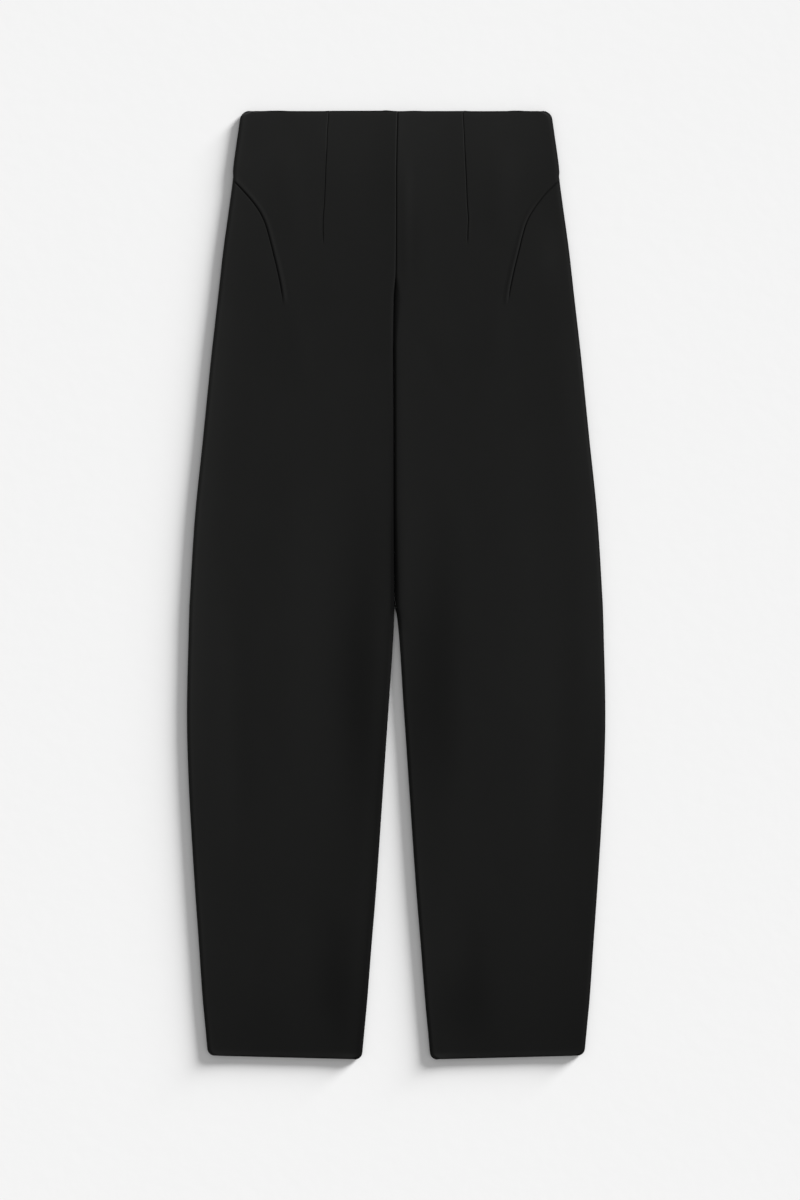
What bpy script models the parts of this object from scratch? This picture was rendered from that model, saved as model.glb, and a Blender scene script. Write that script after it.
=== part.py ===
"""Wide-leg trousers with a barrel cut, laid flat on a surface with the front up.

The waist points to +Y and the hems to -Y, with the trousers' own left side at +X.
Two front panels lie on two back panels. Each panel is one wall of cloth, shaped
through sections across the leg, and turned at its side and inner-leg seams so that
front and back meet edge to edge at half of the fold's height. All sizes are in metres.
"""

import math
from collections import namedtuple

import bmesh
import bpy

LENGTH = 1.0632  # waist edge to hem, along the inner side of a leg
HEM_SLANT = 0.0044  # the outer end of a hem lies this much nearer the waist
WALL = 0.0018  # the thickness of the cloth
SEAM_GAP = 0.0003  # clear space between two panels at a seam
WAIST_CORNER = 0.009  # radius, seen from above, of the waist's outer corners
HEM_CORNER = 0.0075  # radius of the hems' corners
SIDE_ROLL = 0.005  # how far the fold at a side seam reaches in from the edge
BACK_SHOWS = 0.0016  # how far the back's edge shows past the front's at waist and hems

CENTRE_SEAM_END = 0.183  # where the front centre seam starts to go down between the legs
GROOVE_START = 0.205  # where it has gone all the way down
CROTCH = 0.300  # where the inner-leg seams meet
BACK_TURN_START = 0.258  # where the back's inner edges start to turn up
FULL_RISE = 0.360  # where the back's inner edges have come up to the front's
LEGS_PART = 0.556  # where the two legs stop touching
SEAM_DIP = 0.0005  # how far the cloth is drawn in at the front centre seam
CROTCH_SINK = 0.0012  # how much further the fronts' inner edges go down above the crotch
SINK_FADE = 0.245  # where the inner edges start to come up from there

DART_GROOVE = 0.0007  # radius of the groove that a sewn dart draws in the cloth

LIP = 0.0006  # width of the last strip before a flat seam
UPRIGHT_LIP = 0.15  # share of a full turn that the last, upright strip takes

ROLL_STEPS = 4  # strips round each turned edge
FLAT_STEPS = 9  # strips across a panel between its turned edges
CORNER_STEPS = 3  # strips along each rounded corner
DART_STEPS = 14  # straight stretches in each dart's groove

# One row for each section across the legs. down is the distance below the waist edge,
# half_width runs from the centre line to the side fold, leg_gap from the centre line to
# the inner fold, drift is how far the centre seam lies to +X, left_groove and
# right_groove are how far the turn of each side's inner edge reaches in, and edge_loft
# and mid_loft are the height of the upper face beside the folds and in the leg's middle.
Section = namedtuple("Section", "down half_width leg_gap drift left_groove right_groove edge_loft mid_loft")
SECTIONS = (
    Section(0.0000, 0.1736, 0.0000, 0.0015, 0.0016, 0.0016, 0.0062, 0.0052),
    Section(0.0270, 0.1775, 0.0000, 0.0008, 0.0016, 0.0016, 0.0064, 0.0053),
    Section(0.0659, 0.1828, 0.0000, 0.0001, 0.0016, 0.0016, 0.0066, 0.0054),
    Section(0.0730, 0.1825, 0.0000, 0.0001, 0.0016, 0.0016, 0.0066, 0.0054),
    Section(0.0995, 0.1858, 0.0000, 0.0001, 0.0016, 0.0016, 0.0067, 0.0055),
    Section(0.1555, 0.1935, 0.0000, -0.0001, 0.0018, 0.0018, 0.0068, 0.0057),
    Section(0.1890, 0.1973, 0.0000, -0.0008, 0.0040, 0.0024, 0.0069, 0.0059),
    Section(0.2115, 0.1998, 0.0000, -0.0023, 0.0080, 0.0025, 0.0070, 0.0060),
    Section(0.2560, 0.2049, 0.0000, -0.0027, 0.0042, 0.0028, 0.0072, 0.0062),
    Section(0.2787, 0.2074, 0.0000, -0.0025, 0.0036, 0.0034, 0.0072, 0.0062),
    Section(0.3683, 0.2164, 0.0000, -0.0022, 0.0036, 0.0036, 0.0072, 0.0062),
    Section(0.4579, 0.2255, 0.0000, -0.0021, 0.0042, 0.0042, 0.0072, 0.0060),
    Section(0.5564, 0.2316, 0.0002, -0.0014, 0.0060, 0.0060, 0.0072, 0.0058),
    Section(0.5608, 0.2317, 0.0010, -0.0011, 0.0060, 0.0060, 0.0072, 0.0058),
    Section(0.5700, 0.2320, 0.0018, -0.0005, 0.0058, 0.0058, 0.0072, 0.0058),
    Section(0.5923, 0.2326, 0.0034, 0.0001, 0.0054, 0.0054, 0.0071, 0.0058),
    Section(0.6595, 0.2342, 0.0077, 0.0000, 0.0050, 0.0050, 0.0070, 0.0057),
    Section(0.7043, 0.2341, 0.0108, 0.0000, 0.0050, 0.0050, 0.0069, 0.0056),
    Section(0.7715, 0.2317, 0.0153, 0.0000, 0.0050, 0.0050, 0.0068, 0.0055),
    Section(0.8723, 0.2256, 0.0223, 0.0000, 0.0050, 0.0050, 0.0067, 0.0054),
    Section(0.9395, 0.2209, 0.0278, 0.0000, 0.0050, 0.0050, 0.0066, 0.0053),
    Section(0.9955, 0.2171, 0.0322, 0.0000, 0.0050, 0.0050, 0.0065, 0.0053),
    Section(1.0291, 0.2140, 0.0353, 0.0000, 0.0050, 0.0050, 0.0065, 0.0053),
    Section(1.0632, 0.2108, 0.0385, 0.0000, 0.0050, 0.0050, 0.0064, 0.0053),
)

# One row for each broad fold in a front panel. side is 1 for the trousers' left and -1
# for their right, across is the distance from the centre line, and half_width and
# height are those of the soft ridge, or of the trough where height is below zero.
Fold = namedtuple("Fold", "side across start end half_width height")
FOLDS = (
    Fold(1, 0.044, 0.400, 0.820, 0.021, -0.0008),
    Fold(-1, 0.044, 0.410, 0.840, 0.022, -0.0008),
    Fold(1, 0.124, 0.320, 0.790, 0.033, 0.0006),
    Fold(-1, 0.120, 0.340, 0.830, 0.035, 0.0006),
    Fold(1, 0.0105, 0.030, 0.215, 0.006, 0.0004),
)

# The places that a dart's seam runs through: its distance below the waist edge, and its
# distance from the centre line on the trousers' left and on their right. The waist dart
# starts at the waist edge, and the hip dart at the side seam.
DartPoint = namedtuple("DartPoint", "down left right")
WAIST_DART = (
    DartPoint(-0.004, 0.0744, 0.0755),
    DartPoint(0.003, 0.0746, 0.0759),
    DartPoint(0.021, 0.0757, 0.0774),
    DartPoint(0.039, 0.0765, 0.0779),
    DartPoint(0.066, 0.0778, 0.0792),
    DartPoint(0.084, 0.0786, 0.0798),
    DartPoint(0.102, 0.0793, 0.0806),
    DartPoint(0.120, 0.0805, 0.0820),
    DartPoint(0.129, 0.0801, 0.0821),
    DartPoint(0.150, 0.0796, 0.0819),
)
HIP_DART = (
    DartPoint(0.0755, 0.1838, 0.1838),
    DartPoint(0.0785, 0.1806, 0.1812),
    DartPoint(0.0840, 0.1748, 0.1760),
    DartPoint(0.0905, 0.1683, 0.1702),
    DartPoint(0.0995, 0.1609, 0.1622),
    DartPoint(0.1084, 0.1545, 0.1556),
    DartPoint(0.1174, 0.1490, 0.1504),
    DartPoint(0.1263, 0.1450, 0.1467),
    DartPoint(0.1353, 0.1423, 0.1439),
    DartPoint(0.1443, 0.1399, 0.1415),
    DartPoint(0.1532, 0.1378, 0.1392),
    DartPoint(0.1622, 0.1356, 0.1370),
    DartPoint(0.1711, 0.1334, 0.1348),
    DartPoint(0.1801, 0.1313, 0.1328),
    DartPoint(0.1891, 0.1294, 0.1308),
    DartPoint(0.1980, 0.1276, 0.1292),
    DartPoint(0.2070, 0.1262, 0.1279),
    DartPoint(0.2170, 0.1250, 0.1270),
)

CLOTH_COLOUR = (0.016, 0.016, 0.016, 1.0)
CLOTH_ROUGHNESS = 0.85


def between(rows, column, down):
    """A table's column at a distance below the waist, on a smooth curve through its rows."""
    places = [row.down for row in rows]
    values = [getattr(row, column) for row in rows]
    last = len(rows) - 1

    def slope(i):
        low, high = max(0, i - 1), min(last, i + 1)
        return (values[high] - values[low]) / (places[high] - places[low])

    i = max(0, min(last - 1, sum(place <= down for place in places) - 1))
    span = places[i + 1] - places[i]
    t = max(0.0, min(1.0, (down - places[i]) / span))
    start = (1 + 2 * t) * (1 - t) ** 2 * values[i] + t * (1 - t) ** 2 * span * slope(i)
    end = t * t * (3 - 2 * t) * values[i + 1] - t * t * (1 - t) * span * slope(i + 1)
    return start + end


def ease(value, start, end):
    """0 up to start and 1 from end on, with a soft change between them."""
    t = max(0.0, min(1.0, (value - start) / (end - start)))
    return t * t * (3 - 2 * t)


def corner_inset(distance, radius):
    """How far a rounded corner pulls the outline in, at that distance from the cloth's edge."""
    short = max(0.0, min(1.0, 1 - distance / radius))
    return radius * (1 - math.sqrt(1 - short**2))


def turn_share(distance, reach):
    """How far a turned edge has gone round, from 0 to 1, at that distance in from the edge."""
    near = max(0.0, min(1.0, 1 - distance / reach))
    return 1 - math.sqrt(1 - near**2)


def groove_width(side, down):
    """How far the turn of a panel's inner edge reaches in."""
    return between(SECTIONS, "left_groove" if side > 0 else "right_groove", down)


def inner_edge(side, down):
    """Distance from the centre line to a panel's centre seam or inner-leg seam."""
    corner = corner_inset(LENGTH - down, HEM_CORNER)
    return between(SECTIONS, "leg_gap", down) + side * between(SECTIONS, "drift", down) + SEAM_GAP / 2 + corner


def outer_edge(down):
    """Distance from the centre line to the side fold."""
    corner = corner_inset(down, WAIST_CORNER) + corner_inset(LENGTH - down, HEM_CORNER)
    return between(SECTIONS, "half_width", down) - corner


def seam_height(down):
    """Height of the side and inner-leg seams, half way up the fold."""
    return between(SECTIONS, "edge_loft", down) / 2


def folds_height(side, across, down):
    """What the broad folds add to a front panel's height."""
    height = 0.0
    for fold in FOLDS:
        if fold.side == side:
            fade = (fold.end - fold.start) / 3
            along = ease(down, fold.start, fold.start + fade) - ease(down, fold.end - fade, fold.end)
            height += fold.height * along * math.exp(-(((across - fold.across) / fold.half_width) ** 2))
    return height


def front_inner_turn(down):
    """How far the front's inner edge is turned under: 0 at the centre seam and 1 at the inner-leg seam."""
    return ease(down, CENTRE_SEAM_END, GROOVE_START)


def back_inner_turn(down):
    """How far the back's inner edge is turned up: 0 at the centre seam and 1 at the inner-leg seam."""
    return ease(down, BACK_TURN_START, CROTCH)


def front_height(side, across, down, inner_share, outer_share):
    """Height of a front panel's outer face, where its edges have gone round by the given shares."""
    inner, outer = inner_edge(side, down), outer_edge(down)
    edge_loft = between(SECTIONS, "edge_loft", down)
    mid_loft = between(SECTIONS, "mid_loft", down)
    from_middle = abs(2 * (across - inner) / (outer - inner) - 1)
    top = mid_loft + (edge_loft - mid_loft) * from_middle**4 + folds_height(side, across, down)
    drop = edge_loft - seam_height(down) - SEAM_GAP / 2
    sink = CROTCH_SINK * (1 - ease(down, SINK_FADE, FULL_RISE))
    inner_drop = SEAM_DIP + front_inner_turn(down) * (drop + sink - SEAM_DIP)
    return top - inner_share * inner_drop - outer_share * drop


def back_height(down, inner_share, outer_share):
    """Height of a back panel's outer face, which lies flat on the surface between its folds."""
    rise = seam_height(down) - SEAM_GAP / 2
    inner_rise = rise * ease(down, BACK_TURN_START, FULL_RISE)
    return inner_share * inner_rise + outer_share * rise


def turn_points(reach, turn):
    """Distances in from an edge, each with the share of the turn that is done there.

    The last strip is a lip. It stands upright where the edge is turned all the way, and
    lies flat where the edge isn't turned.
    """
    flat_lip = LIP * (1 - turn)
    points = []
    for i in range(ROLL_STEPS + 1):
        angle = math.pi / 2 * i / ROLL_STEPS
        inset = flat_lip + (reach - flat_lip) * (1 - math.sin(angle))
        points.append((inset, (1 - math.cos(angle)) * (1 - UPRIGHT_LIP * turn)))
    return [*points, (0.0, 1.0)]


def section_points(side, down, inner_turn):
    """A section's points, as the distance from the centre line and the inner and outer shares of turn."""
    inner, outer = inner_edge(side, down), outer_edge(down)
    groove = groove_width(side, down)
    inner_points = [(inner + inset, share, 0.0) for inset, share in turn_points(groove, inner_turn)]
    outer_points = [(outer - inset, 0.0, share) for inset, share in turn_points(SIDE_ROLL, 1.0)]
    flat_places = steps(inner + groove, outer - SIDE_ROLL, FLAT_STEPS)[1:]
    return inner_points[::-1] + [(across, 0.0, 0.0) for across in flat_places] + outer_points


def steps(start, end, count):
    """count places from start on, evenly spaced, without the end."""
    return [start + (end - start) * i / count for i in range(count)]


def row_places():
    """Distances below the waist edge of the sections, close together at the rounded corners."""
    bow = [1 - math.cos(math.pi / 2 * i / CORNER_STEPS) for i in range(CORNER_STEPS)]
    return (
        [WAIST_CORNER * share for share in bow]
        + steps(WAIST_CORNER, CENTRE_SEAM_END, 8)
        + steps(CENTRE_SEAM_END, GROOVE_START, 2)
        + steps(GROOVE_START, BACK_TURN_START, 3)
        + steps(BACK_TURN_START, CROTCH, 2)
        + steps(CROTCH, LEGS_PART, 9)
        + steps(LEGS_PART, LENGTH - HEM_CORNER, 16)
        + [LENGTH - HEM_CORNER * share for share in reversed([*bow, 1.0])]
    )


def shorten(side, across, down, trim):
    """The place along the leg of a point, with the slanting hem, and with trim left off at both ends."""
    inner, outer = inner_edge(side, down), outer_edge(down)
    slant = HEM_SLANT * max(0.0, min(1.0, (across - inner) / (outer - inner)))
    share = down / LENGTH
    return trim + share * (LENGTH - 2 * trim - slant)


def place(side, across, down, height, trim):
    return (side * across, LENGTH / 2 - shorten(side, across, down, trim), height)


def front_points(side, down):
    """A section of a front panel's outer face."""
    points = []
    for across, inner_share, outer_share in section_points(side, down, front_inner_turn(down)):
        height = front_height(side, across, down, inner_share, outer_share)
        points.append(place(side, across, down, height, BACK_SHOWS))
    return points


def back_points(side, down):
    """A section of a back panel's outer face."""
    points = []
    for across, inner_share, outer_share in section_points(side, down, back_inner_turn(down)):
        height = back_height(down, inner_share, outer_share)
        points.append(place(side, across, down, height, 0.0))
    return points


def on_front(side, across, down):
    """A point on a front panel's outer face, away from its inner edge."""
    outer_share = turn_share(outer_edge(down) - across, SIDE_ROLL)
    height = front_height(side, across, down, 0.0, outer_share)
    return place(side, across, down, height, BACK_SHOWS)


def cloth_material():
    material = bpy.data.materials.new("black_cloth")
    material.diffuse_color = CLOTH_COLOUR
    material.use_nodes = True
    shader = material.node_tree.nodes["Principled BSDF"]
    shader.inputs["Base Color"].default_value = CLOTH_COLOUR
    shader.inputs["Roughness"].default_value = CLOTH_ROUGHNESS
    shader.inputs["Metallic"].default_value = 0.0
    return material


def make_panel(name, side, section, faces_up, collection):
    """A panel: a grid whose rows are the sections, moved onto the panel's face and given the wall's thickness."""
    rows = row_places()
    columns = 2 * (ROLL_STEPS + 1) + FLAT_STEPS
    grid = bmesh.new()
    bmesh.ops.create_grid(grid, x_segments=columns, y_segments=len(rows) - 1, size=0.5)
    sections = [section(side, down) for down in rows]
    for vertex in grid.verts:
        row = round((0.5 - vertex.co.y) * (len(rows) - 1))
        column = round((vertex.co.x + 0.5) * columns)
        vertex.co = sections[row][column]
    if (side > 0) != faces_up:
        bmesh.ops.reverse_faces(grid, faces=grid.faces)
    mesh = bpy.data.meshes.new(name)
    grid.to_mesh(mesh)
    grid.free()
    mesh.shade_smooth()
    mesh.materials.append(cloth_material())
    panel = bpy.data.objects.new(name, mesh)
    collection.objects.link(panel)
    wall = panel.modifiers.new("wall", "SOLIDIFY")
    wall.thickness = WALL
    wall.offset = -1.0
    wall.use_even_offset = True
    triangles = panel.modifiers.new("triangles", "TRIANGULATE")
    triangles.quad_method = "SHORTEST_DIAGONAL"
    return panel


def dart_cutter(name, side, dart, cutters):
    """A thin round bar along a dart's seam, half sunk in the front's outer face."""
    curve = bpy.data.curves.new(name, "CURVE")
    curve.dimensions = "3D"
    curve.bevel_depth = DART_GROOVE
    curve.bevel_resolution = 1
    curve.use_fill_caps = True
    start, end = dart[0].down, dart[-1].down
    column = "left" if side > 0 else "right"
    spline = curve.splines.new("POLY")
    spline.points.add(DART_STEPS)
    for i, spline_point in enumerate(spline.points):
        down = start + (end - start) * i / DART_STEPS
        across = min(between(dart, column, down), outer_edge(down) + DART_GROOVE)
        spline_point.co = (*on_front(side, across, down), 1.0)
    bar = bpy.data.objects.new(name + "_curve", curve)
    cutters.objects.link(bar)
    bpy.context.view_layer.update()
    graph = bpy.context.evaluated_depsgraph_get()
    mesh = bpy.data.meshes.new_from_object(bar.evaluated_get(graph))
    bpy.data.objects.remove(bar)
    shape = bmesh.new()
    shape.from_mesh(mesh)
    bmesh.ops.remove_doubles(shape, verts=shape.verts, dist=0.00001)
    bmesh.ops.triangulate(shape, faces=shape.faces)
    shape.to_mesh(mesh)
    shape.free()
    cutter = bpy.data.objects.new(name, mesh)
    cutter.hide_render = True
    cutter.display_type = "WIRE"
    cutters.objects.link(cutter)
    return cutter


def sew_darts(panel, side, cutters):
    for kind, dart in (("waist_dart", WAIST_DART), ("hip_dart", HIP_DART)):
        cut = panel.modifiers.new(kind, "BOOLEAN")
        cut.operation = "DIFFERENCE"
        cut.solver = "EXACT"
        cut.object = dart_cutter(f"{panel.name}_{kind}", side, dart, cutters)


def clear_scene():
    for thing in list(bpy.data.objects):
        bpy.data.objects.remove(thing)


def main():
    clear_scene()
    trousers = bpy.data.collections.new("trousers")
    cutters = bpy.data.collections.new("cutters")
    bpy.context.scene.collection.children.link(trousers)
    bpy.context.scene.collection.children.link(cutters)
    for side, word in ((1, "left"), (-1, "right")):
        front = make_panel(f"front_{word}", side, front_points, True, trousers)
        sew_darts(front, side, cutters)
        make_panel(f"back_{word}", side, back_points, False, trousers)


main()
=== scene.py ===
# %% [markdown]
# # Wide-leg trousers, laid flat
#
# This lesson dresses a plain CAD model of black trousers that lie on a surface with
# the front up. The CAD panels are coarse walls of cloth. Each one is made again here
# as a fine sheet of the same form, with its darts, its rolled edges and its soft
# creases, and a matte black cloth that is made only of shader nodes.
#
# We load the model first, because the cloth must stay in it.

import math
from collections import namedtuple

import bmesh
import bpy
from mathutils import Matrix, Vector, noise


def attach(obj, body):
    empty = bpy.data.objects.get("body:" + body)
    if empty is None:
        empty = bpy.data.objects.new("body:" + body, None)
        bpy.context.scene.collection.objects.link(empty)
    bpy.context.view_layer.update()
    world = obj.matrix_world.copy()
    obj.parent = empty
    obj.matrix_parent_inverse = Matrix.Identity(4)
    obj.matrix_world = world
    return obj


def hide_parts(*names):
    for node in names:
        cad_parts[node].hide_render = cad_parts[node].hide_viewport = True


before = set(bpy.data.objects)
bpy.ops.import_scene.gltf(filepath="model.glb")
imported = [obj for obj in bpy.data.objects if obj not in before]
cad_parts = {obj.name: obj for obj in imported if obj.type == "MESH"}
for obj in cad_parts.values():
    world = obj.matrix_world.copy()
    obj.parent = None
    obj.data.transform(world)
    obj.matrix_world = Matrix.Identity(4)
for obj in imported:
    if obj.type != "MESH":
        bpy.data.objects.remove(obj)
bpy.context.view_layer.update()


# %% [markdown]
# ## The sections
#
# A pattern cutter draws trousers as widths at fixed distances below the waist. The
# table does the same: `down` is measured from the waist edge, `half_width` from the
# centre line to the side fold, and `leg_gap` from the centre line to the inner fold.
# `drift` is how far the centre seam wanders, the two grooves are how wide the inner
# folds turn, and the last two columns are the height of the cloth beside the folds and
# in the middle of the leg. All are metres, and all match the CAD panels. A `side` of 1
# is the trousers' own left, at +X, and -1 is their right.

# %% Sections across the legs
LENGTH = 1.0632
HEM_SLANT = 0.0044
WAIST_CORNER = 0.009
HEM_CORNER = 0.0075
SIDE_ROLL = 0.005
SEAM_GAP = 0.00008
CENTRE_SEAM_END = 0.183
GROOVE_START = 0.205
BACK_TURN_START = 0.258
CROTCH = 0.300
FULL_RISE = 0.360
LEGS_PART = 0.556
CROTCH_SINK = 0.0012
SINK_FADE = 0.245

WORDS = {1: "left", -1: "right"}
Section = namedtuple(
    "Section", "down half_width leg_gap drift left_groove right_groove edge_loft mid_loft"
)
SECTIONS = (
    Section(0.0000, 0.1736, 0.0000, 0.0015, 0.0016, 0.0016, 0.0062, 0.0052),
    Section(0.0270, 0.1775, 0.0000, 0.0008, 0.0016, 0.0016, 0.0064, 0.0053),
    Section(0.0659, 0.1828, 0.0000, 0.0001, 0.0016, 0.0016, 0.0066, 0.0054),
    Section(0.0730, 0.1825, 0.0000, 0.0001, 0.0016, 0.0016, 0.0066, 0.0054),
    Section(0.0995, 0.1858, 0.0000, 0.0001, 0.0016, 0.0016, 0.0067, 0.0055),
    Section(0.1555, 0.1935, 0.0000, -0.0001, 0.0018, 0.0018, 0.0068, 0.0057),
    Section(0.1890, 0.1973, 0.0000, -0.0008, 0.0040, 0.0024, 0.0069, 0.0059),
    Section(0.2115, 0.1998, 0.0000, -0.0023, 0.0080, 0.0025, 0.0070, 0.0060),
    Section(0.2560, 0.2049, 0.0000, -0.0027, 0.0042, 0.0028, 0.0072, 0.0062),
    Section(0.2787, 0.2074, 0.0000, -0.0025, 0.0036, 0.0034, 0.0072, 0.0062),
    Section(0.3683, 0.2164, 0.0000, -0.0022, 0.0036, 0.0036, 0.0072, 0.0062),
    Section(0.4579, 0.2255, 0.0000, -0.0021, 0.0042, 0.0042, 0.0072, 0.0060),
    Section(0.5564, 0.2316, 0.0002, -0.0014, 0.0060, 0.0060, 0.0072, 0.0058),
    Section(0.5608, 0.2317, 0.0010, -0.0011, 0.0060, 0.0060, 0.0072, 0.0058),
    Section(0.5700, 0.2320, 0.0018, -0.0005, 0.0058, 0.0058, 0.0072, 0.0058),
    Section(0.5923, 0.2326, 0.0034, 0.0001, 0.0054, 0.0054, 0.0071, 0.0058),
    Section(0.6595, 0.2342, 0.0077, 0.0000, 0.0050, 0.0050, 0.0070, 0.0057),
    Section(0.7043, 0.2341, 0.0108, 0.0000, 0.0050, 0.0050, 0.0069, 0.0056),
    Section(0.7715, 0.2317, 0.0153, 0.0000, 0.0050, 0.0050, 0.0068, 0.0055),
    Section(0.8723, 0.2256, 0.0223, 0.0000, 0.0050, 0.0050, 0.0067, 0.0054),
    Section(0.9395, 0.2209, 0.0278, 0.0000, 0.0050, 0.0050, 0.0066, 0.0053),
    Section(0.9955, 0.2171, 0.0322, 0.0000, 0.0050, 0.0050, 0.0065, 0.0053),
    Section(1.0291, 0.2140, 0.0353, 0.0000, 0.0050, 0.0050, 0.0065, 0.0053),
    Section(1.0632, 0.2108, 0.0385, 0.0000, 0.0050, 0.0050, 0.0064, 0.0053),
)


def between(rows, column, place):
    """A column's value at a place in the table's first column, on a smooth curve through the rows."""
    places = [row[0] for row in rows]
    values = [getattr(row, column) for row in rows]
    last = len(rows) - 1

    def slope(i):
        low, high = max(0, i - 1), min(last, i + 1)
        return (values[high] - values[low]) / (places[high] - places[low])

    i = max(0, min(last - 1, sum(start <= place for start in places) - 1))
    span = places[i + 1] - places[i]
    t = max(0.0, min(1.0, (place - places[i]) / span))
    start = (1 + 2 * t) * (1 - t) ** 2 * values[i] + t * (1 - t) ** 2 * span * slope(i)
    end = t * t * (3 - 2 * t) * values[i + 1] - t * t * (1 - t) * span * slope(i + 1)
    return start + end


def ease(value, start, end):
    """0 up to start, 1 from end on, and a soft change between."""
    t = max(0.0, min(1.0, (value - start) / (end - start)))
    return t * t * (3 - 2 * t)


def bump(value, centre, half_width):
    """A soft bell that is 1 at its centre."""
    return math.exp(-(((value - centre) / half_width) ** 2))


print("Sections:", len(SECTIONS), "down to", SECTIONS[-1].down)

# %% [markdown]
# ## The outline
#
# Two functions give the inner and the outer edge of a leg at any distance below the
# waist. Where the cloth's corners are rounded, both edges come in along a quarter of
# a circle. The values of one row are used by hundreds of points, so a small cache
# keeps the script quick.

# %% The outline of a leg
from functools import lru_cache


def corner_inset(distance, radius):
    """How far a rounded corner pulls the outline in, at that distance from the cloth's end."""
    short = max(0.0, min(1.0, 1 - distance / radius))
    return radius * (1 - math.sqrt(1 - short**2))


@lru_cache(maxsize=None)
def row_values(side, down):
    """The inner edge, the outer edge, the groove's width and both heights at one row."""
    hem = corner_inset(LENGTH - down, HEM_CORNER)
    centre_line = between(SECTIONS, "leg_gap", down) + side * between(SECTIONS, "drift", down)
    inner = centre_line + SEAM_GAP / 2 + hem
    outer = between(SECTIONS, "half_width", down) - corner_inset(down, WAIST_CORNER) - hem
    groove = between(SECTIONS, f"{WORDS[side]}_groove", down)
    edge_loft, mid_loft = between(SECTIONS, "edge_loft", down), between(SECTIONS, "mid_loft", down)
    return inner, outer, groove, edge_loft, mid_loft


for down in (0.05, 0.5, 1.0):
    inner, outer, *_ = row_values(1, down)
    print(f"leg at {down} m: from {inner:.4f} to {outer:.4f}")

# %% [markdown]
# ## Darts
#
# A dart is a wedge of cloth that is folded away and sewn down, so that flat cloth
# curves over a hip. From outside it is a thin line, sunk by the pull of the thread,
# with a soft ridge on the side where the folded cloth lies, and past it a faint mark of
# the fold's edge. These trousers have a straight dart from the waist, and a curved one
# from the side seam.
#
# Each dart is a short table of places on its seam. A function then tells how far any
# point of the cloth lies from that seam.

# %% Dart seams
DartPoint = namedtuple("DartPoint", "down left right")
Dart = namedtuple("Dart", "seam groove groove_width ridge ridge_place ridge_width ridge_start fade")
WAIST_DART = Dart(
    seam=(
        DartPoint(-0.004, 0.0744, 0.0755),
        DartPoint(0.003, 0.0746, 0.0759),
        DartPoint(0.021, 0.0757, 0.0774),
        DartPoint(0.039, 0.0765, 0.0779),
        DartPoint(0.066, 0.0778, 0.0792),
        DartPoint(0.084, 0.0786, 0.0798),
        DartPoint(0.102, 0.0793, 0.0806),
        DartPoint(0.120, 0.0805, 0.0820),
        DartPoint(0.129, 0.0801, 0.0821),
        DartPoint(0.150, 0.0796, 0.0819),
    ),
    groove=0.0004, groove_width=0.0005,
    ridge=0.0, ridge_place=-0.0026, ridge_width=0.0020, ridge_start=-0.02, fade=0.010,
)
HIP_DART = Dart(
    seam=(
        DartPoint(0.0755, 0.1838, 0.1838),
        DartPoint(0.0785, 0.1806, 0.1812),
        DartPoint(0.0840, 0.1748, 0.1760),
        DartPoint(0.0905, 0.1683, 0.1702),
        DartPoint(0.0995, 0.1609, 0.1622),
        DartPoint(0.1084, 0.1545, 0.1556),
        DartPoint(0.1174, 0.1490, 0.1504),
        DartPoint(0.1263, 0.1450, 0.1467),
        DartPoint(0.1353, 0.1423, 0.1439),
        DartPoint(0.1443, 0.1399, 0.1415),
        DartPoint(0.1532, 0.1378, 0.1392),
        DartPoint(0.1622, 0.1356, 0.1370),
        DartPoint(0.1711, 0.1334, 0.1348),
        DartPoint(0.1801, 0.1313, 0.1328),
        DartPoint(0.1891, 0.1294, 0.1308),
        DartPoint(0.1980, 0.1276, 0.1292),
        DartPoint(0.2070, 0.1262, 0.1279),
        DartPoint(0.2170, 0.1250, 0.1270),
    ),
    groove=0.0006, groove_width=0.0006,
    ridge=0.00028, ridge_place=-0.0026, ridge_width=0.0018, ridge_start=0.045, fade=0.022,
)
FOLD_MARK = 0.0068
FOLD_MARK_WIDTH = 0.0008
FOLD_MARK_DEPTH = 0.00007


@lru_cache(maxsize=None)
def dart_at(dart, side, down):
    """The seam's distance from the centre line, and the cosine of its slope, at one row."""
    step = 0.001
    here = between(dart.seam, WORDS[side], down)
    slope = (between(dart.seam, WORDS[side], down + step) - here) / step
    return here, 1 / math.hypot(1, slope)


def dart_distance(dart, side, across, down):
    """Distance from the seam, positive towards the side, or a large value past its ends."""
    if not dart.seam[0].down - 0.002 <= down <= dart.seam[-1].down + 0.004:
        return 1.0
    here, cosine = dart_at(dart, side, down)
    return (across - here) * cosine


def dart_strength(dart, down):
    """1 along the dart, and less and less where it runs out into the cloth."""
    end = dart.seam[-1].down
    return 1 - ease(down, end - dart.fade, end)


def dart_relief(dart, side, across, down):
    """What a dart adds to the cloth's height: its sunk seam, and the pressed fold beside it."""
    distance = dart_distance(dart, side, across, down)
    if abs(distance) > 0.02:
        return 0.0
    groove = dart.groove * bump(distance, 0.0, dart.groove_width) * dart_strength(dart, down)
    pressed = ease(down, dart.ridge_start, dart.ridge_start + 0.05)
    pressed *= 1 - ease(down, dart.seam[-1].down - 0.008, dart.seam[-1].down + 0.002)
    ridge = dart.ridge * bump(distance, dart.ridge_place, dart.ridge_width) * pressed
    if dart is HIP_DART:
        mark = bump(distance, -FOLD_MARK, FOLD_MARK_WIDTH) * ease(down, 0.150, 0.175)
        ridge -= FOLD_MARK_DEPTH * mark * pressed
    return ridge - groove


for name, dart in (("waist dart", WAIST_DART), ("hip dart", HIP_DART)):
    print(name, "ends", dart.seam[-1].down, "m below the waist")
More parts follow.
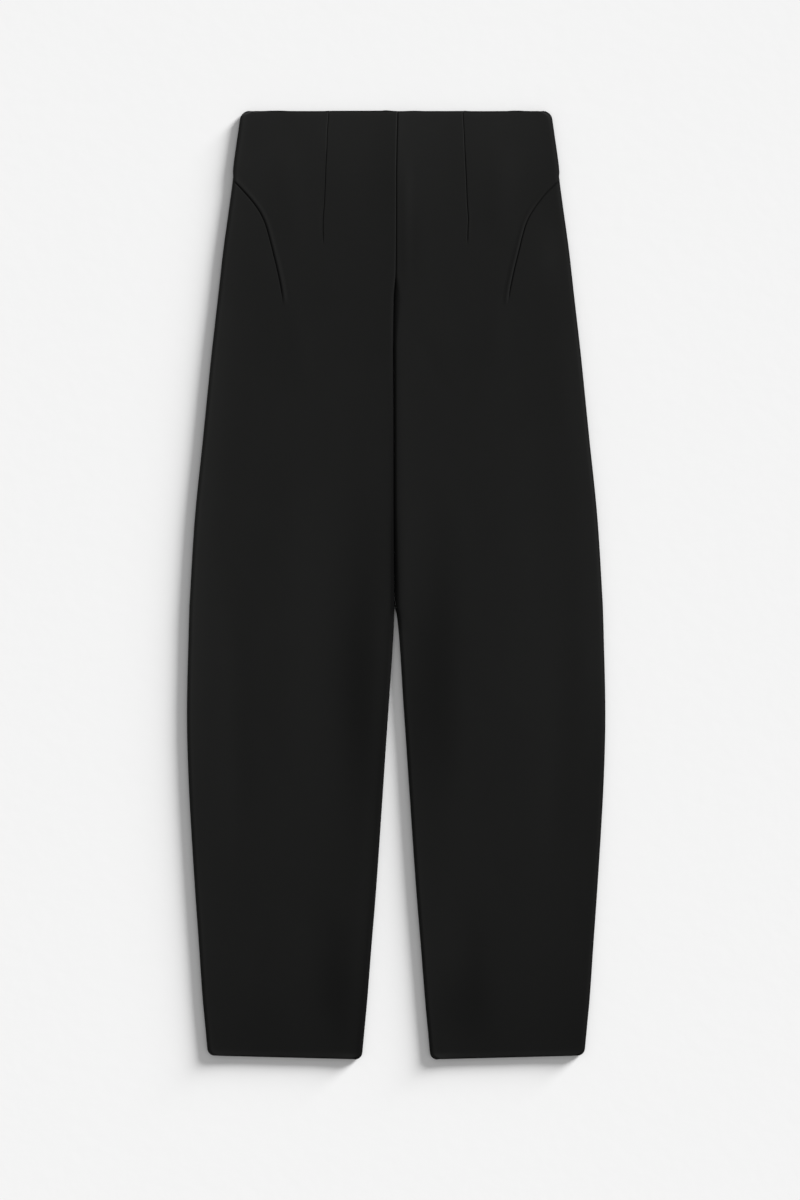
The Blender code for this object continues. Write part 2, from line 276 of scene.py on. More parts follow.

# %% [markdown]
# ## Soft folds
#
# Smooth black suiting that is laid down by hand never lies dead flat. It keeps long,
# shallow waves where the leg was hung, and a few drag lines round the crotch and the
# hips. Each wave is one row: where it starts and ends, how far it leans, its half
# width and its height, which is below zero for a trough. No two are alike, and the
# legs differ. The broadest of them are in the CAD panels too.

# %% Folds placed one by one
Fold = namedtuple("Fold", "side down across end_down end_across half_width height")
FOLDS = (
    Fold(1, 0.400, 0.044, 0.820, 0.044, 0.021, -0.0008),
    Fold(-1, 0.410, 0.044, 0.840, 0.044, 0.022, -0.0008),
    Fold(1, 0.320, 0.124, 0.790, 0.124, 0.033, 0.0006),
    Fold(-1, 0.340, 0.120, 0.830, 0.120, 0.035, 0.0006),
    Fold(1, 0.030, 0.0105, 0.215, 0.0105, 0.006, 0.0004),
    Fold(1, 0.240, 0.022, 0.330, 0.060, 0.010, -0.00012),
    Fold(-1, 0.240, 0.020, 0.320, 0.052, 0.009, -0.00010),
    Fold(1, 0.200, 0.118, 0.300, 0.104, 0.012, 0.0002),
    Fold(-1, 0.196, 0.120, 0.330, 0.098, 0.014, 0.00018),
    Fold(1, 0.030, 0.118, 0.150, 0.112, 0.016, 0.0003),
    Fold(-1, 0.020, 0.122, 0.160, 0.116, 0.018, 0.0003),
    Fold(1, 0.520, 0.190, 0.900, 0.172, 0.018, -0.0004),
    Fold(-1, 0.480, 0.186, 0.860, 0.176, 0.016, -0.0004),
    Fold(1, 0.880, 0.075, 1.080, 0.082, 0.022, -0.0005),
    Fold(-1, 0.870, 0.088, 1.075, 0.070, 0.024, -0.0006),
)


def fold_relief(side, across, down):
    """What the folds add to the cloth's height at a point."""
    height = 0.0
    for fold in FOLDS:
        if fold.side != side:
            continue
        share = (down - fold.down) / (fold.end_down - fold.down)
        along = ease(share, 0.0, 0.34) - ease(share, 0.66, 1.0)
        if along > 0:
            centre = fold.across + (fold.end_across - fold.across) * share
            height += fold.height * along * bump(across, centre, fold.half_width)
    return height


def drape_relief(side, across, down):
    """Small uneven waves of two sizes, longer along the leg than across it."""
    broad = noise.noise(Vector((across / 0.060, down / 0.170, 3.7 * side)))
    small = noise.noise(Vector((across / 0.021, down / 0.048, 9.1 * side)))
    return 0.00016 * broad + 0.00004 * small


print("Folds:", len(FOLDS))

# %% [markdown]
# ## From flat cloth to laid cloth
#
# Every vertex starts in a flat grid, as a point of the pattern: its x says how far it
# lies across the panel, from 0 at the inner edge to 1 at the outer, and its y how far
# below the waist. The functions here move it to its place on the laid trousers. Near
# either edge the cloth turns round a quarter of a circle, and the last strip at a
# turned seam stands upright, so that front and back meet square.

# %% Where a point of the pattern lies
TURN_SHARE = 0.075
LIP_SHARE = 0.008
LIP = 0.0006
UPRIGHT_LIP = 0.15
SEAM_DIP = 0.0005


def turn_at(part, reach, turned):
    """Inset from the edge and share of the turn, for part from 0 at the seam to 1 where it's flat."""
    lip = LIP_SHARE / TURN_SHARE
    flat_lip = LIP * (1 - turned)
    if part < lip:
        step = part / lip
        return flat_lip * step, 1 - UPRIGHT_LIP * turned * step
    angle = math.pi / 2 * (1 - part) / (1 - lip)
    inset = flat_lip + (reach - flat_lip) * (1 - math.sin(angle))
    return inset, (1 - math.cos(angle)) * (1 - UPRIGHT_LIP * turned)


def across_at(side, part, down, inner_turned):
    """The distance from the centre line, and the inner and outer shares of turn."""
    inner, outer, groove, *_ = row_values(side, down)
    if part < TURN_SHARE:
        inset, share = turn_at(part / TURN_SHARE, groove, inner_turned)
        return inner + inset, share, 0.0
    if part > 1 - TURN_SHARE:
        inset, share = turn_at((1 - part) / TURN_SHARE, SIDE_ROLL, 1.0)
        return outer - inset, 0.0, share
    flat = (part - TURN_SHARE) / (1 - 2 * TURN_SHARE)
    return inner + groove + (outer - SIDE_ROLL - inner - groove) * flat, 0.0, 0.0


def front_place(side, part, down):
    """A front panel's point: across the body, and the height of its outer face."""
    turned = ease(down, CENTRE_SEAM_END, GROOVE_START)
    across, inner_share, outer_share = across_at(side, part, down, turned)
    inner, outer, _, edge_loft, mid_loft = row_values(side, down)
    middle = abs(2 * (across - inner) / (outer - inner) - 1)
    flatness = (1 - inner_share * turned) * (1 - outer_share)
    relief = fold_relief(side, across, down) + drape_relief(side, across, down)
    relief += dart_relief(WAIST_DART, side, across, down)
    relief += dart_relief(HIP_DART, side, across, down)
    drop = edge_loft / 2 - SEAM_GAP / 2
    sink = CROTCH_SINK * (1 - ease(down, SINK_FADE, FULL_RISE))
    inner_drop = SEAM_DIP + turned * (drop + sink - SEAM_DIP)
    top = mid_loft + (edge_loft - mid_loft) * middle**4 + flatness * relief
    return across, top - inner_share * inner_drop - outer_share * drop


def back_place(side, part, down):
    """A back panel's point, flat on the surface between its turned edges."""
    turned = ease(down, BACK_TURN_START, CROTCH)
    across, inner_share, outer_share = across_at(side, part, down, turned)
    rise = row_values(side, down)[3] / 2 - SEAM_GAP / 2
    inner_rise = rise * ease(down, BACK_TURN_START, FULL_RISE)
    return across, inner_share * inner_rise + outer_share * rise


print("front, middle of a leg:", [round(value, 4) for value in front_place(1, 0.5, 0.5)])
print("back, at the side seam:", [round(value, 4) for value in back_place(1, 1.0, 0.5)])

# %% [markdown]
# ## The waist and the hems
#
# The front's waist edge lies a little lower than the back's, so the back's edge
# shows above it as a thin line that comes and goes. The hems slant a little, and the
# back's hem shows below the front's.

# %% Ends of the panels
EdgePoint = namedtuple("EdgePoint", "x dip")
WAIST_EDGE = (
    EdgePoint(-0.170, 0.0005),
    EdgePoint(-0.150, 0.0005),
    EdgePoint(-0.139, 0.0001),
    EdgePoint(-0.128, 0.0001),
    EdgePoint(-0.119, 0.0005),
    EdgePoint(-0.080, 0.0005),
    EdgePoint(-0.077, 0.0003),
    EdgePoint(-0.050, 0.0002),
    EdgePoint(-0.015, 0.0000),
    EdgePoint(-0.011, -0.0004),
    EdgePoint(-0.006, 0.0001),
    EdgePoint(0.0025, 0.0006),
    EdgePoint(0.010, 0.0005),
    EdgePoint(0.020, 0.0002),
    EdgePoint(0.032, 0.0005),
    EdgePoint(0.076, 0.0004),
    EdgePoint(0.079, 0.0001),
    EdgePoint(0.082, 0.0006),
    EdgePoint(0.125, 0.0005),
    EdgePoint(0.130, 0.0001),
    EdgePoint(0.139, 0.0001),
    EdgePoint(0.146, 0.0005),
    EdgePoint(0.170, 0.0005),
)
FRONT_WAIST_TRIM = 0.0022
FRONT_HEM_TRIM = 0.0012


def waist_trim(x, is_front):
    """How far an edge lies below the highest line of the waist. The front's wavers a little more."""
    if is_front:
        return FRONT_WAIST_TRIM + 0.0006 * noise.noise(Vector((x / 0.016, 0.4, 0.0)))
    return between(WAIST_EDGE, "dip", x)


def along_at(side, part, across, down, is_front):
    """How far along the leg a point lies, with its end's trim and the hem's slant."""
    slant = HEM_SLANT * max(0.0, min(1.0, part))
    hem_trim = FRONT_HEM_TRIM if is_front else 0.0
    top = waist_trim(side * across, is_front)
    share = down / LENGTH
    return top + share * (LENGTH - top - hem_trim - slant)


print("back edge shows at the centre by", round(waist_trim(0.0, True) - waist_trim(0.0, False), 4))

# %% [markdown]
# ## A net for each panel
#
# `create_grid` gives a flat net of squares. We set its rows and columns in the
# pattern, cut the squares smaller along the dart seams with `subdivide_edges`, and
# only later move every vertex to its place. So few faces lie where the cloth is plain,
# and many where a dart's line is less than a millimetre wide.

# %% Rows, columns and finer squares at the darts
WALL = 0.0018
CORNER_ROWS = 5
TURN_COLUMNS = 7


def row_places(rows):
    """Distances below the waist, closer together at the rounded corners."""
    bow = [1 - math.cos(math.pi / 2 * i / CORNER_ROWS) for i in range(CORNER_ROWS)]
    step = (LENGTH - WAIST_CORNER - HEM_CORNER) / rows
    return (
        [WAIST_CORNER * share for share in bow]
        + [WAIST_CORNER + step * i for i in range(rows)]
        + [LENGTH - HEM_CORNER * share for share in reversed([*bow, 1.0])]
    )


def column_parts(columns):
    """Shares of the way across, closer together in the two turned edges."""
    turn = [0.0] + [
        LIP_SHARE + (TURN_SHARE - LIP_SHARE) * i / TURN_COLUMNS for i in range(TURN_COLUMNS + 1)
    ]
    flat = [TURN_SHARE + (1 - 2 * TURN_SHARE) * i / columns for i in range(1, columns)]
    return turn + flat + [1 - part for part in reversed(turn)]


def pattern_grid(rows, columns):
    """A flat grid whose x is the share across the panel and y the distance below the waist."""
    downs, parts = row_places(rows), column_parts(columns)
    grid = bmesh.new()
    bmesh.ops.create_grid(grid, x_segments=len(parts) - 1, y_segments=len(downs) - 1, size=0.5)
    for vertex in grid.verts:
        column = round((vertex.co.x + 0.5) * (len(parts) - 1))
        row = round((0.5 - vertex.co.y) * (len(downs) - 1))
        vertex.co = (parts[column], downs[row], 0.0)
    return grid


def refine(grid, side, reach):
    """Cut the squares in two along every edge that lies within reach of a dart's seam."""
    def near(vertex):
        across = front_place(side, vertex.co.x, vertex.co.y)[0]
        return any(
            abs(dart_distance(dart, side, across, vertex.co.y)) < reach
            for dart in (WAIST_DART, HIP_DART)
        )

    close = {vertex for vertex in grid.verts if vertex.co.y < 0.24 and near(vertex)}
    edges = [edge for edge in grid.edges if edge.verts[0] in close and edge.verts[1] in close]
    bmesh.ops.subdivide_edges(grid, edges=edges, cuts=1, use_grid_fill=True)


print("columns, with 76 in the flat:", len(column_parts(76)))

# %% [markdown]
# ## Painted light and shade on the cloth
#
# Light and shade are painted into the black cloth's tone. It is painted lighter towards the waist,
# over the hips and beside the side folds, darker in the hollows, in the valley between the legs and
# towards the hems, and lighter or darker along the folded edges. The tables hold that as factors: one
# goes down the leg, one holds the painted shade beside the closed inner seams, one goes in from the
# folded edges, and the last lists single soft patches of painted light and shade.

# %% Tone tables
Tone = namedtuple("Tone", "down value")
# Painted light down the leg: lighter at the waist, darker towards the hems.
PAINTED_LIGHT_DOWN_THE_LEG = (
    Tone(0.000, 1.28),
    Tone(0.030, 1.21),
    Tone(0.060, 1.14),
    Tone(0.088, 1.07),
    Tone(0.140, 1.02),
    Tone(0.220, 0.97),
    Tone(0.450, 0.96),
    Tone(0.600, 0.94),
    Tone(0.760, 0.87),
    Tone(0.960, 0.77),
    Tone(1.030, 0.68),
    Tone(1.063, 0.66),
)
SEAM_SHADE = (
    Tone(0.22, 0.00),
    Tone(0.32, 0.20),
    Tone(0.44, 0.38),
    Tone(0.48, 0.62),
    Tone(0.556, 0.62),
    Tone(0.590, 0.00),
)
Rim = namedtuple("Rim", "inset outer_left outer_right inner_left inner_right")
# Painted shade on rims that face the lamp, painted light on rims that face away.
PAINTED_RIM_LIGHT_AND_SHADE = (
    Rim(0.0000, 0.10, 1.85, 1.50, 0.10),
    Rim(0.0010, 0.18, 2.05, 1.65, 0.16),
    Rim(0.0020, 0.50, 1.90, 1.60, 0.34),
    Rim(0.0032, 0.80, 1.58, 1.40, 0.52),
    Rim(0.0050, 0.98, 1.24, 1.18, 0.74),
    Rim(0.0080, 1.00, 1.04, 1.04, 0.98),
    Rim(0.0140, 1.00, 1.00, 1.00, 1.06),
    Rim(0.0240, 1.00, 1.00, 1.00, 1.00),
)
TonePatch = namedtuple("TonePatch", "side across down half_width half_length change")
# Soft patches of painted light where the change is above 0, and painted shade where it is below 0.
PAINTED_LIGHT_AND_SHADE_PATCHES = (
    TonePatch(-1, 0.072, 0.985, 0.026, 0.055, -0.22),
    TonePatch(1, 0.074, 1.000, 0.030, 0.045, -0.20),
    TonePatch(-1, 0.047, 0.650, 0.025, 0.145, -0.37),
    TonePatch(1, 0.038, 0.650, 0.028, 0.145, -0.40),
    TonePatch(-1, 0.130, 0.055, 0.022, 0.030, 0.06),
    TonePatch(1, 0.128, 0.060, 0.022, 0.035, 0.06),
    TonePatch(1, 0.010, 0.110, 0.006, 0.070, 0.03),
    TonePatch(-1, 0.190, 0.150, 0.014, 0.060, 0.06),
    TonePatch(1, 0.186, 0.150, 0.014, 0.060, 0.08),
    TonePatch(1, 0.172, 0.155, 0.014, 0.030, 0.16),
    TonePatch(-1, 0.163, 0.021, 0.020, 0.020, -0.08),
    TonePatch(1, 0.016, 0.150, 0.012, 0.040, -0.16),
    TonePatch(1, 0.018, 0.700, 0.014, 0.070, -0.15),
)


print("Tone patches:", len(PAINTED_LIGHT_AND_SHADE_PATCHES))

# %% [markdown]
# ## Tone along the darts
#
# A sewn dart is a dark line, because little light gets into it, so a line of shade is painted along
# it. The waist darts are fainter near the waist, where the pull is less. Beside their lower ends a
# little highlight is painted where the pressed fold would catch the light. Each shade is a soft bell
# across the seam.

# %% The darts' tone
WAIST_DART_SHADE = 0.45
HIP_DART_SHADE = {1: 0.48, -1: 0.42}
SHADE_OFF_SEAM = 0.0003


def dart_tone(side, across, down):
    """The painted shade along the darts, and a painted highlight beside the waist darts' lower ends,
    as a factor at a point.
    """
    waist_shade = WAIST_DART_SHADE * (0.10 + 0.90 * ease(down, 0.036, 0.052))
    tone = 1.0
    hip_shade = HIP_DART_SHADE[side]
    # Painted shade along each dart's seam.
    for dart, shade, width in ((WAIST_DART, waist_shade, 0.0009), (HIP_DART, hip_shade, 0.0010)):
        distance = dart_distance(dart, side, across, down)
        tone *= 1 - shade * bump(distance, SHADE_OFF_SEAM, width) * dart_strength(dart, down)
    # A painted highlight beside the lower end of each waist dart, where its pressed fold would catch
    # the light.
    painted_fold_highlight = ease(down, 0.095, 0.115) * (1 - ease(down, 0.135, 0.150))
    beside = dart_distance(WAIST_DART, side, across, down)
    return tone * (1 + 0.12 * painted_fold_highlight * bump(beside, 0.0026, 0.0010))


print("tone in the hip dart:", round(dart_tone(1, dart_at(HIP_DART, 1, 0.12)[0], 0.12), 3))

# %% [markdown]
# ## Tone along the inner seams
#
# Above the crotch the two fronts meet in a thin seam, marked by a thin line of painted shade. Below
# it the legs lie against each other, and their turned edges make a dark valley until the legs part.
# The right leg's edge faces the lamp there, so only painted shade keeps the valley deep.

# %% The seams' tone
SEAM_SHADE_WIDTH = {1: 0.0068, -1: 0.0050}
VALLEY_SHADE = 0.95


def seam_tone(side, across, down):
    """The painted shade of the centre seam and of the valley below it, as a factor at a point."""
    inner, _, groove, *_ = row_values(side, down)
    inset = across - inner
    # A thin line of painted shade along the centre seam.
    painted_seam_shade = 0.20 + 0.25 * ease(down, 0.09, 0.19)
    painted_seam_shade *= 1 - ease(down, GROOVE_START, GROOVE_START + 0.03)
    tone = 1 - painted_seam_shade * bump(inset, 0.0, 0.0010)
    tone *= 1 - between(SEAM_SHADE, "value", down) * bump(inset, 0.0, SEAM_SHADE_WIDTH[side])
    if side > 0:
        return tone
    # Painted shade in the valley between the closed legs.
    closed = ease(down, 0.178, GROOVE_START) * (1 - ease(down, LEGS_PART, LEGS_PART + 0.02))
    up_the_turn = max(0.0, min(1.0, inset / groove))
    steepness = 1.6 + 0.6 * ease(down, 0.35, 0.45)
    tone *= 1 - closed * VALLEY_SHADE * (1 - up_the_turn**steepness)
    # More painted shade in a strip about 2 mm in from the right leg's turned edge, where the lamp
    # lights it.
    hollow = 0.15 * ease(down, 0.33, 0.37) + 0.29 * ease(down, 0.450, 0.468)
    hollow *= 1 - ease(down, 0.572, 0.600)
    return tone * (1 - hollow * bump(inset, 0.0020, 0.0016))


print("tone in the valley:", round(seam_tone(-1, row_values(-1, 0.5)[0], 0.5), 3))

# %% [markdown]
# ## Tone along the edges
#
# The folded edges have a painted rim of a millimetre or two: painted shade where the rim faces the
# lamp, and painted light where it faces away. A wider painted highlight runs down the thigh beside
# the side fold. The waist and the hems have a thin painted highlight where the cloth is turned in,
# and the hem's highlight wavers and is brightest near the inner corners.

# %% The edges' tone
HEM_LINE = 0.0032
HEM_WAVER = 0.0014


def edge_tone(side, across, down):
    """The painted light and shade at the folded edges, and the painted highlights at the waist and
    the hems, as a factor at a point.
    """
    inner, outer, *_ = row_values(side, down)
    # Painted shade on rims that face the lamp, painted light on rims that face away.
    tone = between(PAINTED_RIM_LIGHT_AND_SHADE, f"outer_{WORDS[side]}", outer - across)
    # A painted highlight down the thigh, beside the side fold.
    painted_thigh_highlight = ease(down, 0.15, 0.28) - ease(down, 0.60, 0.78)
    tone *= 1 + 0.22 * painted_thigh_highlight * bump(outer - across, 0.004, 0.018)
    rim = between(PAINTED_RIM_LIGHT_AND_SHADE, f"inner_{WORDS[side]}", across - inner)
    tone *= 1 + (rim - 1) * ease(down, LEGS_PART, LEGS_PART + 0.03)
    # A thin painted highlight along the waist's turned edge.
    tone *= 1 + 0.16 * bump(down, 0.0018, 0.0014)
    # A thin painted highlight along the hem, wavering and brightest near the inner corners.
    hem_line = HEM_LINE + HEM_WAVER * noise.noise(Vector((side * across / 0.014, 5.0, 0.0)))
    painted_hem_highlight = 0.34 + 0.34 * bump(across, 0.050, 0.014)
    return tone * (1 + painted_hem_highlight * bump(LENGTH - down, hem_line, 0.0023))


print("tone on the left side fold:", round(edge_tone(1, row_values(1, 0.5)[1], 0.5), 3))

# %% [markdown]
# ## A tone for every vertex
#
# One function multiplies all those factors of painted light and shade for a point of the cloth. The
# number is kept at each vertex as an attribute named `tone`, which the material reads later. A
# painted picture could do the same, but numbers at the vertices need no file and follow the cloth
# wherever it's moved.

# %% The tone of a point
def tone_at(side, across, down, is_front):
    """The number that the cloth's colour is multiplied with at a point: painted light and shade, and
    a faint random tone.
    """
    if not is_front:
        return 1.0
    tone = between(PAINTED_LIGHT_DOWN_THE_LEG, "value", down)
    for tone_of in (dart_tone, seam_tone, edge_tone):
        tone *= tone_of(side, across, down)
    for patch in PAINTED_LIGHT_AND_SHADE_PATCHES:
        if patch.side == side:
            near = bump(across, patch.across, patch.half_width)
            near *= bump(down, patch.down, patch.half_length)
            tone *= 1 + patch.change * near
    return tone * (1 + 0.03 * noise.noise(Vector((across / 0.05, down / 0.09, 17.0 * side))))


print("tone in the middle of a leg:", round(tone_at(1, 0.12, 0.5, True), 3))

# %% [markdown]
# ## From the pattern to the cloth
#
# Now the net can become a panel. Every loop gets its place in the pattern as a UV,
# with the arc of the turned edges added, and every vertex gets its tone and its place
# on the laid trousers. The order matters: the vertices hold the pattern only until
# they are moved. At the end the faces are turned so that the cloth's outer side is out.

# %% Move a net to its place
ARC = 0.04


def lay_net(grid, side, is_front):
    """Give a pattern's net its UVs and tones, and move it onto the laid trousers."""
    place = front_place if is_front else back_place
    uv = grid.loops.layers.uv.new("cloth")
    tone = grid.verts.layers.float.new("tone")
    for face in grid.faces:
        for loop in face.loops:
            part, down = loop.vert.co.x, loop.vert.co.y
            across = across_at(side, part, down, 1.0)[0]
            inner_arc = ARC * (min(part, TURN_SHARE) - TURN_SHARE)
            outer_arc = ARC * max(0.0, part - 1 + TURN_SHARE)
            loop[uv].uv = (side * (across + inner_arc + outer_arc), -down)
    for vertex in grid.verts:
        part, down = vertex.co.x, vertex.co.y
        across, height = place(side, part, down)
        vertex[tone] = tone_at(side, across, down, is_front)
        y = LENGTH / 2 - along_at(side, part, across, down, is_front)
        vertex.co = (side * across, y, height)
    grid.normal_update()
    faces_up = sum(face.normal.z for face in grid.faces) > 0
    if faces_up != is_front:
        bmesh.ops.reverse_faces(grid, faces=grid.faces)


print("cloth in a turned edge's arc:", ARC * TURN_SHARE, "m")

# %% [markdown]
# ## Sewing it together
#
# Only the sheet's outer face has been made. Solidify thickens it inwards to the wall
# of the cloth, and Bevel rounds the rims that this leaves, as the edge of turned cloth
# is round. Both stay live, so the thickness can still be changed. The fronts, which
# are seen, get a finer net than the backs.

# %% Build the panels
FRONT_NET = (290, 76)
BACK_NET = (160, 40)
NEAR_A_DART = (0.0095, 0.0045, 0.0014)
RIM_RADIUS = 0.0006
SHARP = math.radians(60)


def make_panel(name, side, is_front):
    """A panel of cloth, laid in its place."""
    grid = pattern_grid(*(FRONT_NET if is_front else BACK_NET))
    if is_front:
        for reach in NEAR_A_DART:
            refine(grid, side, reach)
    lay_net(grid, side, is_front)
    mesh = bpy.data.meshes.new(name)
    grid.to_mesh(mesh)
    grid.free()
    mesh.shade_smooth()
    panel = bpy.data.objects.new(name, mesh)
    bpy.context.scene.collection.objects.link(panel)
    wall = panel.modifiers.new("wall", "SOLIDIFY")
    wall.thickness = WALL
    wall.offset = -1.0
    wall.use_even_offset = True
    rim = panel.modifiers.new("rounded rim", "BEVEL")
    rim.limit_method = "ANGLE"
    rim.angle_limit = SHARP
    rim.width = RIM_RADIUS
    rim.segments = 2
    print(name, len(mesh.polygons), "faces before its wall")
    return panel


panels = {}
for side, word in WORDS.items():
    panels[f"front_{word}"] = make_panel(f"front_{word}_cloth", side, True)
    panels[f"back_{word}"] = make_panel(f"back_{word}_cloth", side, False)

# %% [markdown]
# ## Two helpers for nodes
#
# A material is a tree of nodes. Adding a node and setting its values takes several
# lines each time, so two small functions do it: one adds a node at a place in the
# editor, and one joins an output to an input.

# %% Add a node, join two nodes
def link(tree, from_node, output, to_node, socket):
    tree.links.new(from_node.outputs[output], to_node.inputs[socket])


def add_node(tree, kind, place, values=None, **settings):
    """A new node at a place in the editor, with its inputs' values and its own settings."""
    node = tree.nodes.new(kind)
    node.location = place
    for key, value in settings.items():
        setattr(node, key, value)
    for socket, value in (values or {}).items():
        node.inputs[socket].default_value = value
    return node


print("Nodes are added by", add_node.__name__, "and joined by", link.__name__)

# %% [markdown]
# ## The weave
#
# The cloth is a dense, matte crepe: a fine even weave with tightly twisted yarns. The
# weave comes from two Wave textures across each other, on the UV map. Times each
# other, they are high only where two yarns cross. A noise of about a millimetre gives
# the pebbled grain of crepe, and both go into a Bump node, since such yarns are far
# too fine to model.

# %% Weave and grain
YARN_SCALE = 470.0
GRAIN_SCALE = 900.0


def weave_nodes(tree, pattern):
    """The height of the weave, as a node: two waves across each other."""
    crossing = add_node(tree, "ShaderNodeMath", (-820, -100), operation="MULTIPLY")
    values = {"Scale": YARN_SCALE, "Distortion": 0.6, "Detail": 1.0, "Detail Scale": 3.0}
    for socket, (direction, y) in enumerate((("X", 0), ("Y", -250))):
        wave = add_node(tree, "ShaderNodeTexWave", (-1050, y), values, bands_direction=direction)
        link(tree, pattern, "UV", wave, "Vector")
        link(tree, wave, "Fac", crossing, socket)
    return crossing


def relief_nodes(tree, pattern, crossing, shader):
    """The weave and the grain together, as a fine relief on the shader."""
    values = {"Scale": GRAIN_SCALE, "Detail": 3.0, "Roughness": 0.6}
    grain = add_node(tree, "ShaderNodeTexNoise", (-1050, -520), values)
    surface = add_node(tree, "ShaderNodeMath", (-620, -200), operation="ADD")
    relief = add_node(tree, "ShaderNodeBump", (-380, -260), {"Strength": 0.35, "Distance": 0.00015})
    link(tree, pattern, "UV", grain, "Vector")
    link(tree, crossing, "Value", surface, 0)
    link(tree, grain, "Fac", surface, 1)
    link(tree, surface, "Value", relief, "Height")
    link(tree, relief, "Normal", shader, "Normal")


print("A yarn's pitch and the grain, as scales:", YARN_SCALE, GRAIN_SCALE)

# %% [markdown]
# ## The black
#
# The black varies a little at random, and it also carries painted light and shade: its factor is the
# vertices' tone, times a broad soft noise, times the weave, which is a little darker between the
# yarns. A Vector Math node scales the black by it, a hair warm, and the result is the colour.

# %% Colour
def colour_nodes(tree, pattern, crossing, shader, black):
    """The black of the cloth, times its tone of painted light and shade, a broad mottle and the
    weave.
    """
    tone = add_node(tree, "ShaderNodeAttribute", (-1300, 300), attribute_name="tone")
    mottle = add_node(tree, "ShaderNodeTexNoise", (-1050, 520), {"Scale": 28.0, "Detail": 2.0})
    mottle_range = add_node(tree, "ShaderNodeMapRange", (-820, 520), {"To Min": 0.97, "To Max": 1.03})
    yarn = add_node(tree, "ShaderNodeMapRange", (-620, 60), {"To Min": 0.86, "To Max": 1.10})
    shade = add_node(tree, "ShaderNodeMath", (-420, 420), operation="MULTIPLY")
    shade_yarn = add_node(tree, "ShaderNodeMath", (-260, 300), operation="MULTIPLY")
    tint = {0: (black * 0.99, black, black * 0.97)}
    colour = add_node(tree, "ShaderNodeVectorMath", (-120, 160), tint, operation="SCALE")
    link(tree, pattern, "UV", mottle, "Vector")
    link(tree, mottle, "Fac", mottle_range, "Value")
    link(tree, crossing, "Value", yarn, "Value")
    link(tree, tone, "Fac", shade, 0)
    link(tree, mottle_range, "Result", shade, 1)
    link(tree, shade, "Value", shade_yarn, 0)
    link(tree, yarn, "Result", shade_yarn, 1)
    link(tree, shade_yarn, "Value", colour, "Scale")
    link(tree, colour, "Vector", shader, "Base Color")


print("The colour is made by", colour_nodes.__name__)

# %% [markdown]
# ## Black crepe suiting
#
# Crepe has almost no shine of its own and a faint bloom at a slant. So the roughness
# is high, the specular level low, and a trace of sheen does the bloom. These stay
# plain numbers on the shader. Each panel gets its own material and its own slot, so
# that a panel can be recoloured alone.

# %% The cloth material, on each panel
def cloth_material(name, black):
    """The cloth's material: matte black crepe."""
    material = bpy.data.materials.new(name)
    material.use_nodes = True
    material.diffuse_color = (black, black, black, 1.0)
    tree = material.node_tree
    shader = tree.nodes["Principled BSDF"]
    shader.inputs["Roughness"].default_value = 0.82
    shader.inputs["Specular IOR Level"].default_value = 0.05
    shader.inputs["Sheen Weight"].default_value = 0.01
    shader.inputs["Sheen Roughness"].default_value = 0.45
    pattern = add_node(tree, "ShaderNodeUVMap", (-1300, 0), uv_map="cloth")
    crossing = weave_nodes(tree, pattern)
    relief_nodes(tree, pattern, crossing, shader)
    colour_nodes(tree, pattern, crossing, shader, black)
    return material


BLACK = 0.0098
for word, panel in panels.items():
    panel.data.materials.append(cloth_material(f"black crepe, {word.replace('_', ' ')}", BLACK))
print("Materials:", [panel.data.materials[0].name for panel in panels.values()])

# %% [markdown]
# ## A pale floor
#
# The trousers lie on a plain white board. A large plane does for it. It is placed a
# hair under the cloth, painted a little short of white so that the light has room
# above it, and given a trace of grain.

# %% The floor
BELOW_CLOTH = 0.0003
floor_mesh = bmesh.new()
bmesh.ops.create_grid(floor_mesh, x_segments=1, y_segments=1, size=6.0)
floor_data = bpy.data.meshes.new("floor")
floor_mesh.to_mesh(floor_data)
floor_mesh.free()
floor = bpy.data.objects.new("floor", floor_data)
for corner in floor_data.vertices:
    corner.co.z = -BELOW_CLOTH
bpy.context.scene.collection.objects.link(floor)

floor_material = bpy.data.materials.new("pale floor")
floor_material.use_nodes = True
floor_shader = floor_material.node_tree.nodes["Principled BSDF"]
floor_shader.inputs["Base Color"].default_value = (0.80, 0.80, 0.80, 1.0)
floor_shader.inputs["Roughness"].default_value = 0.9
floor_shader.inputs["Specular IOR Level"].default_value = 0.0
floor_tree = floor_material.node_tree
floor_grain = add_node(floor_tree, "ShaderNodeTexNoise", (-600, 0), {"Scale": 60.0})
floor_place = add_node(floor_tree, "ShaderNodeTexCoord", (-800, 0))
floor_bump = add_node(floor_tree, "ShaderNodeBump", (-300, 0), {"Strength": 0.05, "Distance": 0.001})
link(floor_tree, floor_place, "Object", floor_grain, "Vector")
link(floor_tree, floor_grain, "Fac", floor_bump, "Height")
link(floor_tree, floor_bump, "Normal", floor_shader, "Normal")
floor_data.materials.append(floor_material)
print("Floor at", -BELOW_CLOTH, "m")
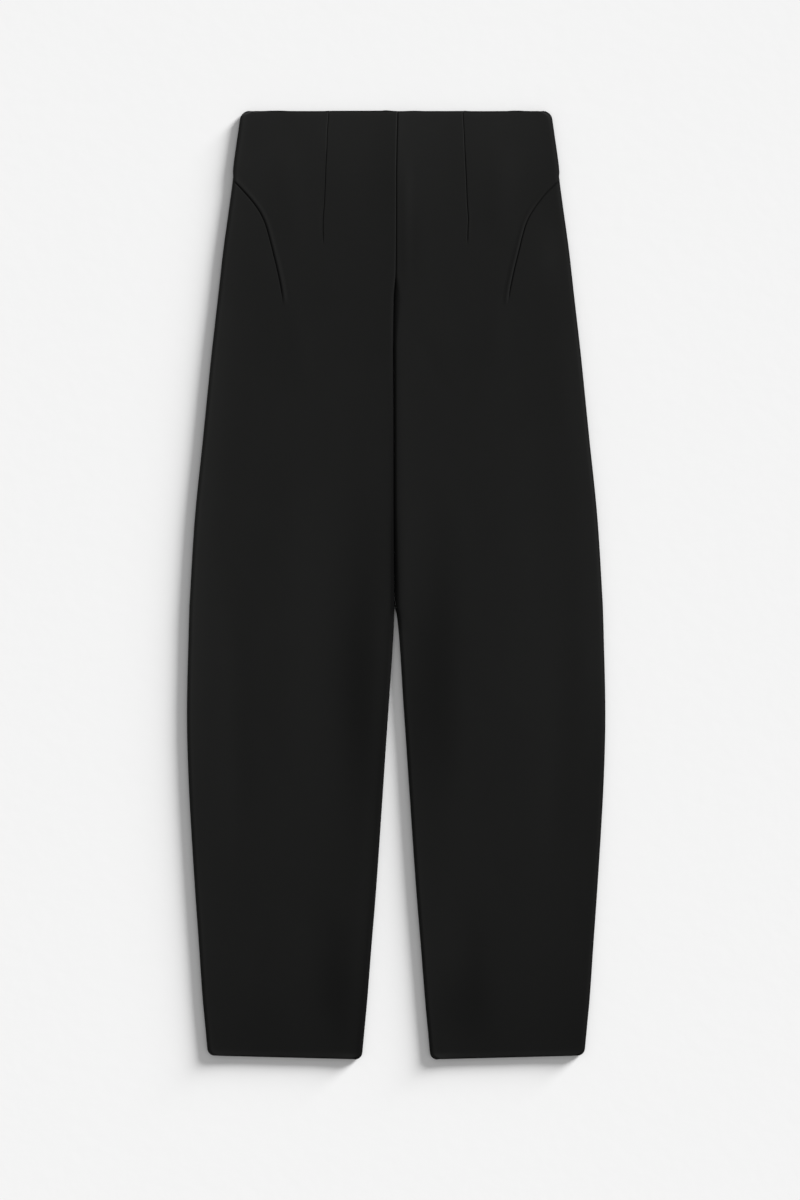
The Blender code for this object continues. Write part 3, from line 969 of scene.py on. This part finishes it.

# %% [markdown]
# ## Where each panel belongs
#
# The trousers have no joint, so all four panels ride on the one body. Each replaces its plain CAD
# node. The area of a cut is smaller than its width times its length, because a trouser leg narrows at
# both ends.

# %% Ride and replace
for word, panel in panels.items():
    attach(panel, "root")
    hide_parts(word)

# %% [markdown]
# ## Light from the upper right
#
# One broad lamp stands low at the upper right, as soft daylight from a window does.
# Cloth that is only 7 mm high then still throws a shadow as wide as a thumb, to the
# left and below. A sun lamp serves, because its light comes from one direction all
# over, and its angle sets how soft the shadow's border is. An even pale surround
# fills in the rest.

# %% The lamp and the surround
KEY_ELEVATION = math.radians(12.5)
KEY_AZIMUTH = math.radians(41)
key_data = bpy.data.lights.new("key", "SUN")
key_data.energy = 9.95
key_data.angle = math.radians(20)
key = bpy.data.objects.new("key", key_data)
key_from = Vector(
    (
        math.cos(KEY_ELEVATION) * math.cos(KEY_AZIMUTH),
        math.cos(KEY_ELEVATION) * math.sin(KEY_AZIMUTH),
        math.sin(KEY_ELEVATION),
    )
)
key.location = key_from * 4
key.rotation_euler = (-key_from).to_track_quat("-Z", "Y").to_euler()
bpy.context.scene.collection.objects.link(key)

world = bpy.data.worlds.new("pale room")
bpy.context.scene.world = world
world.use_nodes = True
background = world.node_tree.nodes["Background"]
background.inputs["Color"].default_value = (1.0, 1.0, 1.0, 1.0)
background.inputs["Strength"].default_value = 0.45
bpy.context.scene.view_settings.view_transform = "Standard"
print("Key light from", [round(value, 2) for value in key_from])

# %% [markdown]
# ## The camera
#
# A flat lay is shot from straight above. The camera stands high with a very long
# lens, so the legs keep their true widths, and its lens is worked out from the height
# of the picture that it has to take in.

# %% Camera
FRAME_HEIGHT = 1.344
FRAME_CENTRE = (0.0043, -0.0168)
CAMERA_HEIGHT = 6.0
CLOTH_MIDDLE = 0.004
camera_data = bpy.data.cameras.new("camera")
camera_data.sensor_width = 36.0
camera_data.lens = CAMERA_HEIGHT * camera_data.sensor_width / FRAME_HEIGHT
camera = bpy.data.objects.new("camera", camera_data)
camera.location = (*FRAME_CENTRE, CAMERA_HEIGHT + CLOTH_MIDDLE)
bpy.context.scene.collection.objects.link(camera)
bpy.context.scene.camera = camera
print("Lens:", round(camera_data.lens, 1), "mm")
